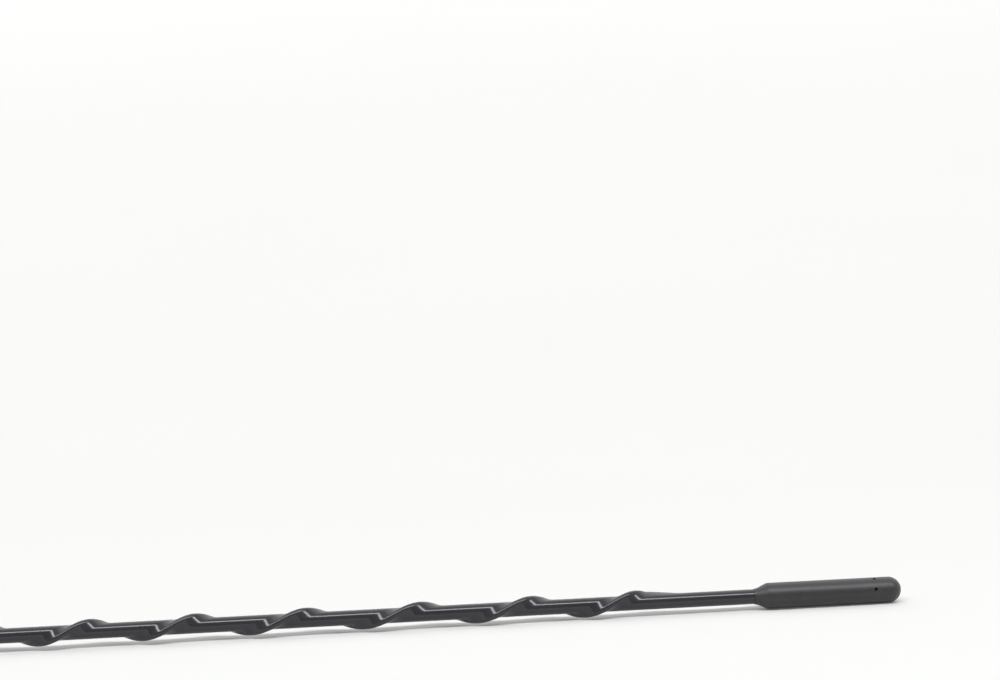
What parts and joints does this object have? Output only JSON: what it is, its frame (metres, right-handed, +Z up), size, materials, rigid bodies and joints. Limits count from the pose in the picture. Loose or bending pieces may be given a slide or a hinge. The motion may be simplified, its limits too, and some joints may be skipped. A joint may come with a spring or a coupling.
{
  "type": "car mast aerial",
  "caption": "Whip aerial for a vehicle: spiral-ribbed black mast with a thick round-ended cap, a moulded foot with a six-sided grip and a threaded stud.",
  "frame": {"origin": "centre of the seat, where the base fitting's flange meets the car, on the mast's axis", "axes": "+X along the mast from the seat to the tip, -X out along the threaded stud, +Z up as the mast lies on a table, with one flat of the grip facing down"},
  "size_m": [0.409, 0.0124, 0.011],
  "materials": {
    "fitting_metal": "nickel plated, satin",
    "foot_plastic": "moulded, matt",
    "core_glass_fibre": "smooth resin",
    "wire_copper": "drawn copper",
    "cord_plastic": "smooth",
    "sleeve_black": "semi-gloss shrink sleeve",
    "cap_charcoal": "moulded, fine grain"
  },
  "bodies": {
    "root": {"base_fitting": "fitting_metal", "foot_grip": "foot_plastic", "core_rod": "core_glass_fibre", "radiator_wire": "wire_copper", "spiral_cord": "cord_plastic", "shrink_sleeve": "sleeve_black", "tip_cap": "cap_charcoal"}
  },
  "joints": []
}
